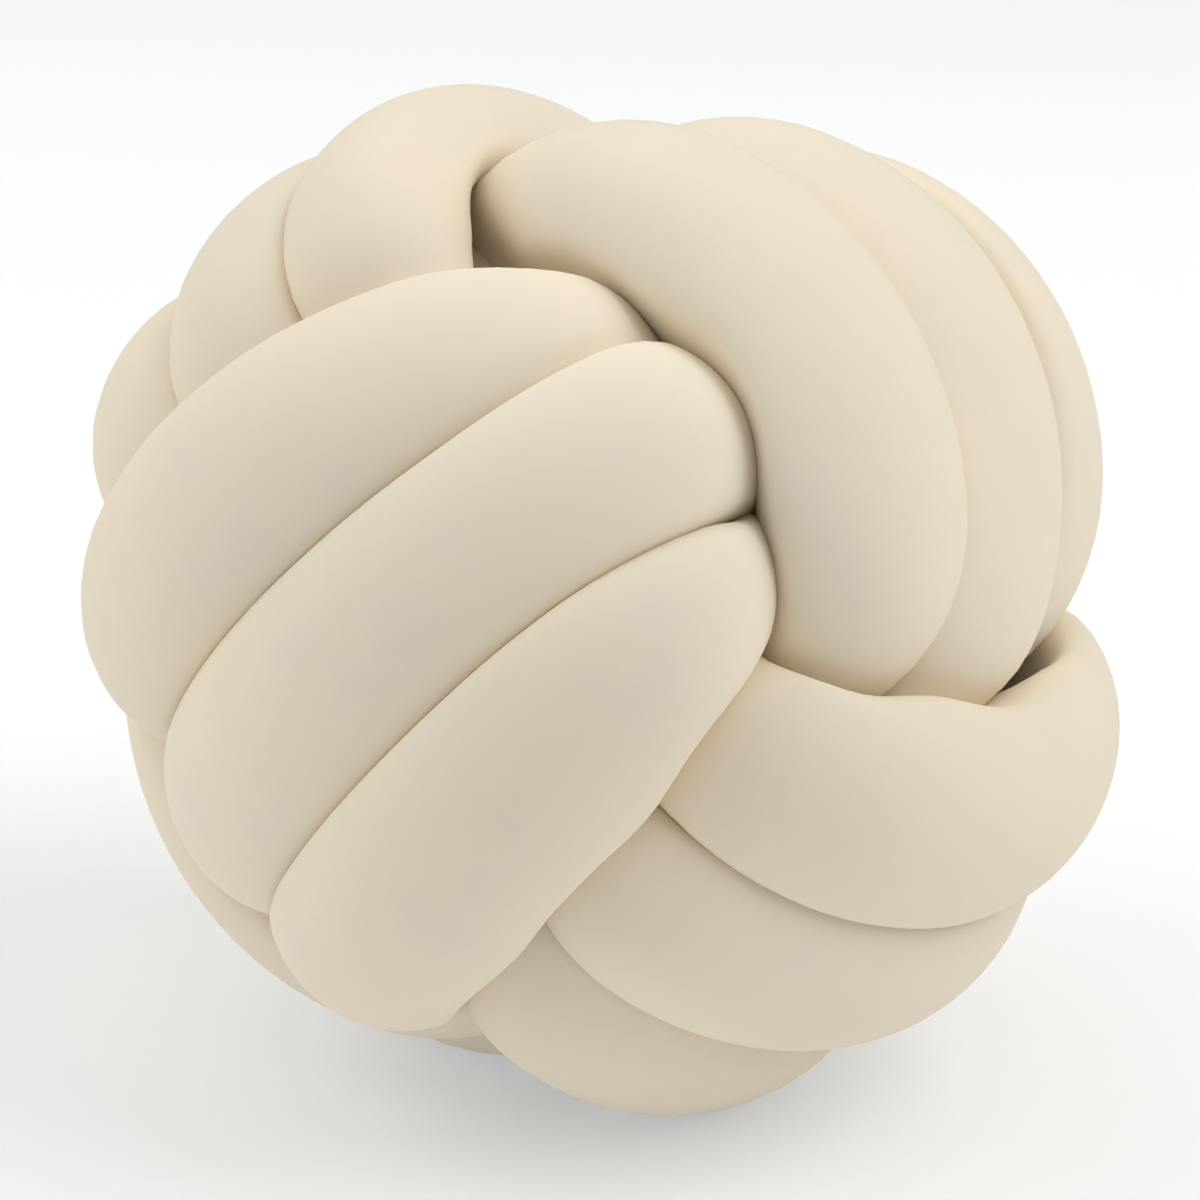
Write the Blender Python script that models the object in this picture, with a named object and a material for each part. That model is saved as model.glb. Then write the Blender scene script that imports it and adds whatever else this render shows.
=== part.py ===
"""Knot cushion: one long stuffed jersey tube wound into a ball knot.

The tube makes three turns in each of three bands that lock over and under one another, so every
face of the ball shows three parallel strands and every corner a three-way pinwheel. Both ends of
the tube are tucked into the heart of the knot. Metres, +Z up, the ball resting on its flat spot.
"""

import math
from typing import NamedTuple

import bpy
import numpy as np
from mathutils import Euler

NODE = "knotted_tube"
MM = 0.001

# ---- the finished ball ---------------------------------------------------------------------------
FLAT_SPOT = 0.0040  # how far the underside is pressed flat by the cushion's own weight
REST_TURN = (-38.33, -10.53, -120.37)  # degrees about X, Y, Z: how the knot lies on the floor
HALF_GAP = 0.0015  # kept between a visible strand and the plane it shares with its neighbour
HIDDEN_HALF_GAP = 0.0036  # the same for the hidden runs, which bend more sharply

RING_COUNT = 366  # cross sections along the tube
RING_SIDES = 16  # points round each cross section
HIDDEN_RING_SHARE = 0.62  # section density in the hidden runs against the visible ones

# ---- the tube ------------------------------------------------------------------------------------
LINE_STEP = 0.0080  # spacing of the samples along the centreline
SPLINE_STEPS = 12  # points of the spline between two knots, before the even resampling
LANE_HEIGHT = 0.0660  # hidden runs pass this far from the ball's centre
LANE_DRAW_IN = 0.80  # hidden runs crowd together by this factor
LANE_SHARES = (0.28, 0.50, 0.72)  # where a hidden run's knots lie on its way across
LANE_THICK = 0.0260  # half thickness of a hidden run
HEART_THICK = 0.0250  # half thickness where the tube crosses the heart of the knot
END_THICK = 0.0240  # half thickness at the tucked ends
THINNEST = 0.0030  # a pinched section never gets thinner than this
SAME_RUN = 0.0790  # samples nearer than this along the tube belong to the same run
REACH = 0.1190  # samples further away than this never touch
SQUEEZE = 0.93  # hidden runs are pushed apart until they are this share of their thickness apart
EASE_ROUNDS = 60  # rounds of pushing the hidden runs apart
EASE_PUSH = 0.10  # share of an overlap undone in a round
EASE_BEND = 0.03  # share of a sharp bend undone in a round
EASE_EVEN = 0.10  # share of an uneven spacing undone in a round
LAST_ROUNDS = 6  # rounds of evening out at the end
LAST_EVEN = 0.5  # share undone in each of them
SIDE_SWELL = 0.80  # how much wider a strand may spread sideways and inward than outward
FULL_SWELL_HEIGHT = 0.126  # from this height over the centre the side swell is full
CREASE_ROUND_DEG = 10.0  # softening of a crease round the section
CREASE_ROUND_RUN = 0.0080  # softening of a crease along the tube
CREASE_POWER = 8.0  # how strongly the softening keeps to the pinched side
FOLD_SHARE = 0.9  # on the inside of a bend a section reaches this share of the way to the next
TIP_SHARE = 0.04  # the first section's place in the rounding of a tucked end
FAR = 1.0  # stands for a wall that a ray never meets
TINY = 1e-9

# angles of a visible strand's knots about the ball's centre, from the middle of its face (0) to
# where it dives under its neighbours, how free each is to shift, and how the tube sinks on the way
STRAND_ANGLES = (-68, -58, -50, -42, -30, -15, 0, 15, 30, 42, 50, 58, 68)
STRAND_FREEDOM = (0.7, 0.12, 0, 0, 0, 0, 0, 0, 0, 0, 0, 0.12, 0.7)
DIVE_ANGLES = (0, 20, 30, 38, 46, 52, 58, 66, 78)
DIVE_SHARES = (1.0, 1.0, 0.99, 0.96, 0.895, 0.80, 0.67, 0.55, 0.50)
END_ANGLE = 52.0  # degrees from the middle at which a strand's head and tail are measured
SETTLING = 1.02  # past this share of the end angle a strand stops drifting sideways
SETTLING_POWER = 8

# the knot's own axes; a band's strands run one way and stack the other on their pair of faces
AXIS = {
    "+x": (1, 0, 0),
    "-x": (-1, 0, 0),
    "+y": (0, 1, 0),
    "-y": (0, -1, 0),
    "+z": (0, 0, 1),
    "-z": (0, 0, -1),
}
RUN_AND_STACK = {"x": ("+z", "+y"), "z": ("+y", "+x"), "y": ("+x", "+z")}


class Strand(NamedTuple):
    """One visible pass of the tube over a face of the knot, lengths in millimetres.

    Columns: the face, the way the tube runs along it, its height over the ball's centre, its
    sideways place at the middle, head and tail, the stretch of its dive at head and tail, and its
    half thickness at the middle, head and tail.
    """

    face: str
    way: int
    height: float
    mid: float
    head: float
    tail: float
    dive_head: float
    dive_tail: float
    thick_mid: float
    thick_head: float
    thick_tail: float


# the eighteen visible passes, in the order in which the tube makes them
STRANDS = (
    #      face way height  mid  head  tail  dive_h dive_t  t_mid t_head t_tail
    Strand("+x", +1, 119, -48, -14, -50, 0.87, 1.02, 31, 25, 27),
    Strand("-x", -1, 116, -56, -36, -47, 0.90, 1.00, 30, 26, 27),
    Strand("+x", +1, 128, 12, 14, 6, 1.00, 1.13, 30, 28, 27),
    Strand("-x", -1, 126, 0, 0, 0, 0.96, 1.00, 30, 26, 27),
    Strand("+x", +1, 126, 60, 47, 54, 0.77, 1.05, 28, 23, 24),
    Strand("-x", -1, 116, 56, 46, 47, 1.00, 1.00, 30, 26, 27),
    Strand("+z", -1, 114, 45, 64, 23, 1.00, 1.04, 30, 26, 27),
    Strand("-z", +1, 116, 54, 34, 22, 1.00, 1.00, 27, 20, 25),
    Strand("+z", -1, 118, -35, 27, -33, 1.30, 1.03, 29, 28, 25),
    Strand("-z", +1, 126, 3, 0, 0, 1.00, 1.00, 30, 26, 27),
    Strand("+z", -1, 113, -80, -20, -72, 0.97, 0.86, 28, 27, 20),
    Strand("-z", +1, 116, -57, -46, -46, 1.00, 1.00, 30, 26, 27),
    Strand("-y", +1, 127, 52, 37, 29, 1.10, 1.00, 21, 21, 24),
    Strand("+y", -1, 126, 54, 44, 50, 1.06, 1.02, 29, 28, 25),
    Strand("-y", +1, 127, 8, -2, -11, 1.10, 1.00, 30, 28, 25),
    Strand("+y", -1, 135, 1, 0, 3, 1.16, 1.00, 29, 24, 28),
    Strand("-y", +1, 123, -54, -44, -56, 0.95, 1.00, 32, 24, 26),
    Strand("+y", -1, 120, -57, -40, -48, 1.13, 1.00, 30, 25, 27),
)

# the face that hides the tube between each strand and the next; None crosses the heart of the knot
HIDDEN_UNDER = (
    *("+z", "-z", "+z", "-z", "+z"),
    None,
    *("-y", "+y", "-y", "+y", "-y"),
    None,
    *("+x", "-x", "+x", "-x", "+x"),
)


class Waypoint(NamedTuple):
    """A place inside the knot that the centreline passes, in millimetres along the knot's axes."""

    x: float
    y: float
    z: float


FIRST_END = (Waypoint(3, -25, -41), Waypoint(22, -35, -63))
LAST_END = (Waypoint(-63, 22, -43), Waypoint(-47, -3, -41))
HEART_CROSSINGS = (
    (Waypoint(-24, 43, -63), Waypoint(16, 32, -41), Waypoint(32, 28, -8), Waypoint(43, 47, 27)),
    (Waypoint(-38, 63, -27), Waypoint(-32, 32, 0), Waypoint(-25, 0, 16), Waypoint(-44, -32, 32)),
)

# columns of a centreline array
XYZ = slice(0, 3)
THICK = 3
FREE = 4


def through_three(at, mid, head, tail):
    """Return the quadratic through tail at -1, mid at 0 and head at +1."""
    return mid + (head - tail) / 2 * at + ((head + tail) / 2 - mid) * at * at


def settled(share):
    """Return the share of the way to a strand's end, levelling off smoothly past the end."""
    return share / (1 + np.abs(share / SETTLING) ** SETTLING_POWER) ** (1 / SETTLING_POWER)


def strand_knots(strand):
    """Return the centreline knots of one visible pass, in the order the tube follows."""
    run_name, stack_name = RUN_AND_STACK[strand.face[1]]
    out = np.array(AXIS[strand.face], float)
    run = np.array(AXIS[run_name], float)
    stack = np.array(AXIS[stack_name], float)
    base = np.array(STRAND_ANGLES, float)
    angle = base * np.where(base > 0, strand.dive_head, strand.dive_tail)
    height = strand.height * np.interp(np.abs(base), DIVE_ANGLES, DIVE_SHARES)
    at = settled(angle / END_ANGLE)
    side = through_three(at, strand.mid, strand.head, strand.tail)
    thick = through_three(at, strand.thick_mid, strand.thick_head, strand.thick_tail)
    turn = np.radians(angle)
    points = (
        (height * np.cos(turn))[:, None] * out
        + (height * np.sin(turn))[:, None] * run
        + side[:, None] * stack
    )
    knots = np.column_stack([points * MM, thick * MM, STRAND_FREEDOM])
    return knots if strand.way > 0 else knots[::-1]


def lane_knots(leaving, entering, face):
    """Return the knots of a hidden run under a face, between two visible passes."""
    up = np.array(AXIS[face], float)
    travel = entering[XYZ] - leaving[XYZ]
    travel = travel - (travel @ up) * up
    along = np.zeros(3)
    along[np.argmax(np.abs(travel))] = 1.0
    side = np.cross(up, along)
    knots = []
    for share in LANE_SHARES:
        point = leaving[XYZ] * (1 - share) + entering[XYZ] * share
        point = point - (point @ up) * up
        point = point - (point @ side) * side * (1 - LANE_DRAW_IN) + LANE_HEIGHT * up
        knots.append([*point, LANE_THICK, 1.0])
    return np.array(knots)


def waypoint_knots(waypoints, thick):
    """Return knots for a run given by waypoints inside the knot."""
    return np.array([[*(c * MM for c in point), thick, 1.0] for point in waypoints])


def tube_knots():
    """Return every centreline knot from one tucked end to the other."""
    passes = [strand_knots(strand) for strand in STRANDS]
    crossings = iter(HEART_CROSSINGS)
    parts = [waypoint_knots(FIRST_END, END_THICK), passes[0]]
    for face, before, after in zip(HIDDEN_UNDER, passes[:-1], passes[1:]):
        if face is None:
            parts.append(waypoint_knots(next(crossings), HEART_THICK))
        else:
            parts.append(lane_knots(before[-1], after[0], face))
        parts.append(after)
    parts.append(waypoint_knots(LAST_END, END_THICK))
    return np.vstack(parts)


def even_line(line, step):
    """Return a line resampled at an even step no longer than the one asked for, and that step."""
    length = np.r_[0, np.cumsum(np.linalg.norm(np.diff(line[:, XYZ], axis=0), axis=1))]
    at = np.linspace(0, length[-1], int(length[-1] / step) + 1)
    return np.stack([np.interp(at, length, column) for column in line.T], axis=1), at[1]


def smooth_line(knots):
    """Return the centripetal spline through the knots, densely sampled."""
    padded = np.vstack([2 * knots[0] - knots[1], knots, 2 * knots[-1] - knots[-2]])
    pieces = []
    for k in range(len(padded) - 3):
        p0, p1, p2, p3 = padded[k : k + 4]
        t0 = 0.0
        t1 = t0 + math.sqrt(np.linalg.norm((p1 - p0)[XYZ]))
        t2 = t1 + math.sqrt(np.linalg.norm((p2 - p1)[XYZ]))
        t3 = t2 + math.sqrt(np.linalg.norm((p3 - p2)[XYZ]))
        t = np.linspace(t1, t2, SPLINE_STEPS, endpoint=False)[:, None]
        a1 = (t1 - t) / (t1 - t0) * p0 + (t - t0) / (t1 - t0) * p1
        a2 = (t2 - t) / (t2 - t1) * p1 + (t - t1) / (t2 - t1) * p2
        a3 = (t3 - t) / (t3 - t2) * p2 + (t - t2) / (t3 - t2) * p3
        b1 = (t2 - t) / (t2 - t0) * a1 + (t - t0) / (t2 - t0) * a2
        b2 = (t3 - t) / (t3 - t1) * a2 + (t - t1) / (t3 - t1) * a3
        pieces.append((t2 - t) / (t2 - t1) * b1 + (t - t1) / (t2 - t1) * b2)
    return np.vstack([*pieces, knots[-1:]])


def off_the_chord(point):
    """Return how far each inner point lies from midway between its two neighbours."""
    return (point[2:] + point[:-2]) / 2 - point[1:-1]


def ease_apart(line, step):
    """Return the line with its hidden runs pushed clear of one another and evened out."""
    point = line[:, XYZ].copy()
    thick = line[:, THICK]
    free = np.clip(line[:, FREE], 0, 1)[:, None]
    index = np.arange(len(point))
    other_run = np.abs(index[:, None] - index[None]) * step > SAME_RUN
    wanted = (thick[:, None] + thick[None]) * SQUEEZE
    for _ in range(EASE_ROUNDS):
        apart = point[:, None] - point[None]
        distance = np.linalg.norm(apart, axis=2) + TINY
        push = np.where(other_run & (distance < wanted), (wanted - distance) / distance, 0)
        shift = EASE_PUSH * (apart * push[:, :, None]).sum(axis=1)
        bend = -point[4:] + 4 * point[3:-1] - 6 * point[2:-2] + 4 * point[1:-3] - point[:-4]
        shift[2:-2] += EASE_BEND * bend
        shift[1:-1] += EASE_EVEN * off_the_chord(point)
        point = point + free * shift
    for _ in range(LAST_ROUNDS):
        point[1:-1] += free[1:-1] * LAST_EVEN * off_the_chord(point)
    eased = line.copy()
    eased[:, XYZ] = point
    return eased


def centreline():
    """Return the tube's centreline samples and their spacing."""
    line, step = even_line(smooth_line(tube_knots()), LINE_STEP)
    return even_line(ease_apart(line, step), LINE_STEP)


def unit(vectors):
    """Return the vectors scaled to length one."""
    return vectors / np.linalg.norm(vectors, axis=-1, keepdims=True)


def carried_frames(point):
    """Return tangents and side vectors carried along the line without twist."""
    tangent = unit(np.gradient(point, axis=0))
    side = [unit(np.cross(tangent[0], (0.0, 0.0, 1.0)))]
    for here in tangent[1:]:
        side.append(unit(side[-1] - here * (here @ side[-1])))
    return tangent, np.array(side)


def ring_places(line, step, count):
    """Return where the cross sections sit along the line, closer together where they show."""
    density = 1 - (1 - HIDDEN_RING_SHARE) * np.clip(line[:, FREE], 0, 1)
    total = np.r_[0, np.cumsum((density[1:] + density[:-1]) / 2)]
    at = np.arange(len(line)) * step
    return np.interp(np.linspace(0, total[-1], count), total, at)


def spread(table, at, places):
    """Return the rows of a table sampled at the given places along the line."""
    return np.stack([np.interp(places, at, column) for column in table.T], axis=1)


def distance_to_wall(ray, towards, power):
    """Return how far each ray runs to the planes between a section and its neighbours.

    A neighbour's plane stands where the two strands, pressed together, share the space by their
    thickness, and power is its place along the line to that neighbour times the line's length.
    """
    slope = ray @ towards.T
    return np.where(slope > TINY, power / np.maximum(slope, TINY), FAR).min(axis=1)


def distance_to_fold(ray, tangent, lift):
    """Return how far each ray runs to the planes of the tube's own sections before and after."""
    tilt = ray @ tangent.T
    meets = tilt * lift > TINY
    return np.where(meets, lift / np.where(meets, tilt, 1.0), FAR).min(axis=1)


def tube_sections(count, sides):
    """Return the surface points of the tube, sections by sides, in the knot's own frame.

    Each section swells from the centreline until it meets the plane it shares with a neighbouring
    strand, as pressed cloth does, and is then softened so that creases close in a smooth cusp.
    """
    line, step = centreline()
    point = line[:, XYZ]
    thick = line[:, THICK]
    at = np.arange(len(line)) * step
    tangent, side = carried_frames(point)
    places = ring_places(line, step, count)
    centre = spread(point, at, places)
    forward = unit(spread(tangent, at, places))
    across = spread(side, at, places)
    across = unit(across - forward * (across * forward).sum(axis=1, keepdims=True))
    over = np.cross(forward, across)
    angle = np.linspace(0, 2 * math.pi, sides, endpoint=False)[None, :, None]
    ray = np.cos(angle) * across[:, None] + np.sin(angle) * over[:, None]
    own = np.interp(places, at, thick)
    height = np.linalg.norm(centre, axis=1)
    facing = (ray * (centre / height[:, None])[:, None]).sum(axis=2)
    depth = np.clip(height / FULL_SWELL_HEIGHT, 0, 1)[:, None]
    limit = own[:, None] * (1 + SIDE_SWELL * (1 - facing) / 2 * depth)
    hidden = np.interp(places, at, np.clip(line[:, FREE], 0, 1))
    gap = HALF_GAP + (HIDDEN_HALF_GAP - HALF_GAP) * hidden
    for i in range(count):
        towards = point - centre[i]
        square = (towards * towards).sum(axis=1)
        along = np.abs(at - places[i])
        other = (along > SAME_RUN) & (square < REACH**2)
        power = (square[other] - thick[other] ** 2 + own[i] ** 2) / 2
        wall = distance_to_wall(ray[i], towards[other], power) - gap[i]
        near = (along <= SAME_RUN) & (along > step / 2)
        lift = (towards[near] * tangent[near]).sum(axis=1)
        fold = FOLD_SHARE * distance_to_fold(ray[i], tangent[near], lift)
        limit[i] = np.minimum(limit[i], np.minimum(np.maximum(wall, THINNEST), fold))
    radius = np.minimum(limit, softened(limit, places, sides))
    from_end = np.minimum(places, places[-1] - places) / END_THICK
    radius *= np.sqrt(1 - (1 - np.clip(from_end, TIP_SHARE, 1)) ** 2)[:, None]
    return centre[:, None] + ray * radius[:, :, None]


def bell(offset, width):
    """Return the weight of a neighbour this far off in a blend of this width."""
    return np.exp(-0.5 * (offset / width) ** 2)


def softened(limit, places, sides):
    """Return the section radii blended round and along the tube, biased to the smaller ones."""
    inverse = limit**-CREASE_POWER
    turn = 360.0 / sides
    offset = np.arange(sides)[:, None] - np.arange(sides)[None]
    offset = (offset + sides // 2) % sides - sides // 2
    round_weight = bell(offset * turn, CREASE_ROUND_DEG)
    round_weight /= round_weight.sum(axis=0)
    run_weight = bell(places[:, None] - places[None], CREASE_ROUND_RUN)
    run_weight /= run_weight.sum(axis=1, keepdims=True)
    return (run_weight @ inverse @ round_weight) ** (-1 / CREASE_POWER)


def on_the_floor(points):
    """Return the points turned to rest on the floor, with the underside pressed flat."""
    turn = np.array(Euler([math.radians(a) for a in REST_TURN], "XYZ").to_matrix())
    placed = points @ turn.T
    low = placed.min(axis=0)
    high = placed.max(axis=0)
    floor = low[2] + FLAT_SPOT
    placed[:, 2] = np.maximum(placed[:, 2], floor) - floor
    placed[:, :2] -= (low[:2] + high[:2]) / 2
    return placed


def tube_mesh(name, count, sides):
    """Return the closed mesh of the knotted tube."""
    sections = tube_sections(count, sides)
    ends = np.stack([sections[0].mean(axis=0), sections[-1].mean(axis=0)])
    points = on_the_floor(np.vstack([sections.reshape(-1, 3), ends]))
    first = count * sides
    faces = []
    for i in range(count - 1):
        for j in range(sides):
            k = (j + 1) % sides
            a, b = i * sides + j, i * sides + k
            faces.append((a, b, b + sides))
            faces.append((a, b + sides, a + sides))
    last = (count - 1) * sides
    for j in range(sides):
        k = (j + 1) % sides
        faces.append((first, k, j))
        faces.append((first + 1, last + j, last + k))
    mesh = bpy.data.meshes.new(name)
    mesh.from_pydata([tuple(p) for p in points], [], faces)
    mesh.polygons.foreach_set("use_smooth", [True] * len(faces))
    mesh.validate()
    return mesh


def cover_material():
    """Return the cover's cream jersey."""
    material = bpy.data.materials.new("cover_jersey")
    material.use_nodes = True
    shader = material.node_tree.nodes["Principled BSDF"]
    shader.inputs["Base Color"].default_value = (0.78, 0.70, 0.56, 1.0)
    shader.inputs["Roughness"].default_value = 0.9
    return material


def main():
    """Build the cushion."""
    for old in list(bpy.data.objects):
        bpy.data.objects.remove(old)
    mesh = tube_mesh(NODE, RING_COUNT, RING_SIDES)
    mesh.materials.append(cover_material())
    cushion = bpy.data.objects.new(NODE, mesh)
    bpy.context.scene.collection.objects.link(cushion)


main()
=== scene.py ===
"""Knot cushion: the cover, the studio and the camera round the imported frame.

One long tube of cream cotton jersey, stuffed tight, makes three turns in each of three bands that
lock over and under one another. The route of the tube is worked out from the same named sizes as
its solid. Its skin is finer here: the strands press flat against each other, the creases close in
a cusp, and the cloth has the relief of its knit and its down.
"""

import logging
import math
from dataclasses import dataclass, field
from enum import Enum
from typing import Iterable, Sequence

import bpy
import numpy as np
from mathutils import Euler, Matrix, Vector


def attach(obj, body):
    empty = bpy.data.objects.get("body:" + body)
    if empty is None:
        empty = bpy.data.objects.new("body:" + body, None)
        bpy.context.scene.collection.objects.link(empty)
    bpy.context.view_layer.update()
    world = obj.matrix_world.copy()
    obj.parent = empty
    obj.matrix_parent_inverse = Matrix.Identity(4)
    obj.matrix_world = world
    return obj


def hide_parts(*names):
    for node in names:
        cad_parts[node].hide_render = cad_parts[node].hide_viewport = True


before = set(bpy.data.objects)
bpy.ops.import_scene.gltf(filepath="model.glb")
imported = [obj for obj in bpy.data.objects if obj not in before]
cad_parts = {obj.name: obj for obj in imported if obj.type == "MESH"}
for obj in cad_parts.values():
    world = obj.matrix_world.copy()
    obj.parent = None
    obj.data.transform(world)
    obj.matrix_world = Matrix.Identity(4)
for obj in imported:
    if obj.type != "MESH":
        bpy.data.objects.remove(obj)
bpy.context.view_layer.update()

log = logging.getLogger("knot_cushion")

NODE = "knotted_tube"
BODY = "root"
CLOTH_UV = "cloth"
MM = 0.001
FAR = 1.0  # metres: stands for a wall that a ray never meets
TINY = 1e-9
WAVE_PHASE = 20  # radians that a wave texture of scale 1 turns through in one unit


def linear(hex_colour: str) -> tuple[float, float, float, float]:
    """Turn an sRGB hex colour into a linear colour with full alpha.

    Args:
        hex_colour: Six hex digits, with or without a leading hash.

    Returns:
        Red, green, blue and alpha as the shaders take them.
    """
    digits = hex_colour.lstrip("#")
    values = (int(digits[i : i + 2], 16) / 255 for i in (0, 2, 4))
    red, green, blue = (v / 12.92 if v <= 0.04045 else ((v + 0.055) / 1.055) ** 2.4 for v in values)
    return (red, green, blue, 1.0)


def unit(vectors: np.ndarray) -> np.ndarray:
    """Return the vectors scaled to length one."""
    return vectors / np.linalg.norm(vectors, axis=-1, keepdims=True)


def bell(offset: np.ndarray, width: float) -> np.ndarray:
    """Return the weight of a neighbour this far off in a blend of this width."""
    return np.exp(-0.5 * (offset / width) ** 2)


# ---- the route of the tube -----------------------------------------------------------------------


class Face(Enum):
    """The six faces of the knot: outward axis, the way the strands run, the way they stack."""

    X_PLUS = ((1, 0, 0), (0, 0, 1), (0, 1, 0))
    X_MINUS = ((-1, 0, 0), (0, 0, 1), (0, 1, 0))
    Z_PLUS = ((0, 0, 1), (0, 1, 0), (1, 0, 0))
    Z_MINUS = ((0, 0, -1), (0, 1, 0), (1, 0, 0))
    Y_PLUS = ((0, 1, 0), (1, 0, 0), (0, 0, 1))
    Y_MINUS = ((0, -1, 0), (1, 0, 0), (0, 0, 1))

    @property
    def out(self) -> np.ndarray:
        """The face's outward direction."""
        return np.array(self.value[0], float)

    @property
    def run(self) -> np.ndarray:
        """The direction along the face's strands."""
        return np.array(self.value[1], float)

    @property
    def stack(self) -> np.ndarray:
        """The direction from one of the face's strands to the next."""
        return np.array(self.value[2], float)


@dataclass(frozen=True)
class Dive:
    """How a visible strand comes up from under its neighbours and goes down again.

    Attributes:
        angles: Places of the centreline's knots about the ball's centre, in degrees.
        freedom: How free each knot is to shift when the hidden runs are pushed apart.
        sink_angles: Angles from the middle at which the sinking is given.
        sink_shares: Share of the strand's height that is left at those angles.
        end_angle: Angle from the middle at which a strand's head and tail are measured.
        settling: Past this share of the end angle the strand stops drifting sideways.
        settling_power: How sharply it stops.
    """

    angles: tuple[float, ...] = (-68, -58, -50, -42, -30, -15, 0, 15, 30, 42, 50, 58, 68)
    freedom: tuple[float, ...] = (0.7, 0.12, 0, 0, 0, 0, 0, 0, 0, 0, 0, 0.12, 0.7)
    sink_angles: tuple[float, ...] = (0, 20, 30, 38, 46, 52, 58, 66, 78)
    sink_shares: tuple[float, ...] = (1.0, 1.0, 0.99, 0.96, 0.895, 0.80, 0.67, 0.55, 0.50)
    end_angle: float = 52.0
    settling: float = 1.02
    settling_power: float = 8

    def settled(self, share: np.ndarray) -> np.ndarray:
        """Return the share of the way to a strand's end, levelling off smoothly past the end."""
        power = self.settling_power
        return share / (1 + np.abs(share / self.settling) ** power) ** (1 / power)


@dataclass(frozen=True)
class Strand:
    """One visible pass of the tube over a face of the knot, lengths in millimetres.

    Attributes:
        face: The face it crosses.
        way: +1 if the tube follows it from tail to head, -1 if from head to tail.
        height: Its height over the ball's centre.
        mid: Its sideways place at the middle.
        head: Its sideways place at the head.
        tail: Its sideways place at the tail.
        dive_head: Stretch of its dive at the head.
        dive_tail: Stretch of its dive at the tail.
        thick_mid: Its half thickness at the middle.
        thick_head: Its half thickness at the head.
        thick_tail: Its half thickness at the tail.
    """

    face: Face
    way: int
    height: float
    mid: float
    head: float
    tail: float
    dive_head: float
    dive_tail: float
    thick_mid: float
    thick_head: float
    thick_tail: float

    def knots(self, dive: Dive) -> np.ndarray:
        """Place the centreline's knots along the strand.

        Args:
            dive: How strands rise and sink.

        Returns:
            Rows of x, y, z, half thickness (metres) and freedom, in the tube's own order.
        """
        base = np.array(dive.angles, float)
        angle = base * np.where(base > 0, self.dive_head, self.dive_tail)
        height = self.height * np.interp(np.abs(base), dive.sink_angles, dive.sink_shares)
        at = dive.settled(angle / dive.end_angle)
        side = through_three(at, self.mid, self.head, self.tail)
        thick = through_three(at, self.thick_mid, self.thick_head, self.thick_tail)
        turn = np.radians(angle)
        points = (
            np.outer(height * np.cos(turn), self.face.out)
            + np.outer(height * np.sin(turn), self.face.run)
            + np.outer(side, self.face.stack)
        )
        rows = np.column_stack([points * MM, thick * MM, dive.freedom])
        return rows if self.way > 0 else rows[::-1]


def through_three(at: np.ndarray, mid: float, head: float, tail: float) -> np.ndarray:
    """Return the quadratic through tail at -1, mid at 0 and head at +1."""
    return mid + (head - tail) / 2 * at + ((head + tail) / 2 - mid) * at * at


@dataclass(frozen=True)
class Waypoint:
    """A place inside the knot that the centreline passes, in millimetres along the knot's axes."""

    x: float
    y: float
    z: float


# the eighteen visible passes, in the order in which the tube makes them
STRANDS = (
    #      face          way height  mid  head  tail  dive_h dive_t t_mid t_head t_tail
    Strand(Face.X_PLUS, +1, 119, -48, -14, -50, 0.87, 1.02, 31, 25, 27),
    Strand(Face.X_MINUS, -1, 116, -56, -36, -47, 0.90, 1.00, 30, 26, 27),
    Strand(Face.X_PLUS, +1, 128, 12, 14, 6, 1.00, 1.13, 30, 28, 27),
    Strand(Face.X_MINUS, -1, 126, 0, 0, 0, 0.96, 1.00, 30, 26, 27),
    Strand(Face.X_PLUS, +1, 126, 60, 47, 54, 0.77, 1.05, 28, 23, 24),
    Strand(Face.X_MINUS, -1, 116, 56, 46, 47, 1.00, 1.00, 30, 26, 27),
    Strand(Face.Z_PLUS, -1, 114, 45, 64, 23, 1.00, 1.04, 30, 26, 27),
    Strand(Face.Z_MINUS, +1, 116, 54, 34, 22, 1.00, 1.00, 27, 20, 25),
    Strand(Face.Z_PLUS, -1, 118, -35, 27, -33, 1.30, 1.03, 29, 28, 25),
    Strand(Face.Z_MINUS, +1, 126, 3, 0, 0, 1.00, 1.00, 30, 26, 27),
    Strand(Face.Z_PLUS, -1, 113, -80, -20, -72, 0.97, 0.86, 28, 27, 20),
    Strand(Face.Z_MINUS, +1, 116, -57, -46, -46, 1.00, 1.00, 30, 26, 27),
    Strand(Face.Y_MINUS, +1, 127, 52, 37, 29, 1.10, 1.00, 21, 21, 24),
    Strand(Face.Y_PLUS, -1, 126, 54, 44, 50, 1.06, 1.02, 29, 28, 25),
    Strand(Face.Y_MINUS, +1, 127, 8, -2, -11, 1.10, 1.00, 30, 28, 25),
    Strand(Face.Y_PLUS, -1, 135, 1, 0, 3, 1.16, 1.00, 29, 24, 28),
    Strand(Face.Y_MINUS, +1, 123, -54, -44, -56, 0.95, 1.00, 32, 24, 26),
    Strand(Face.Y_PLUS, -1, 120, -57, -40, -48, 1.13, 1.00, 30, 25, 27),
)

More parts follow.
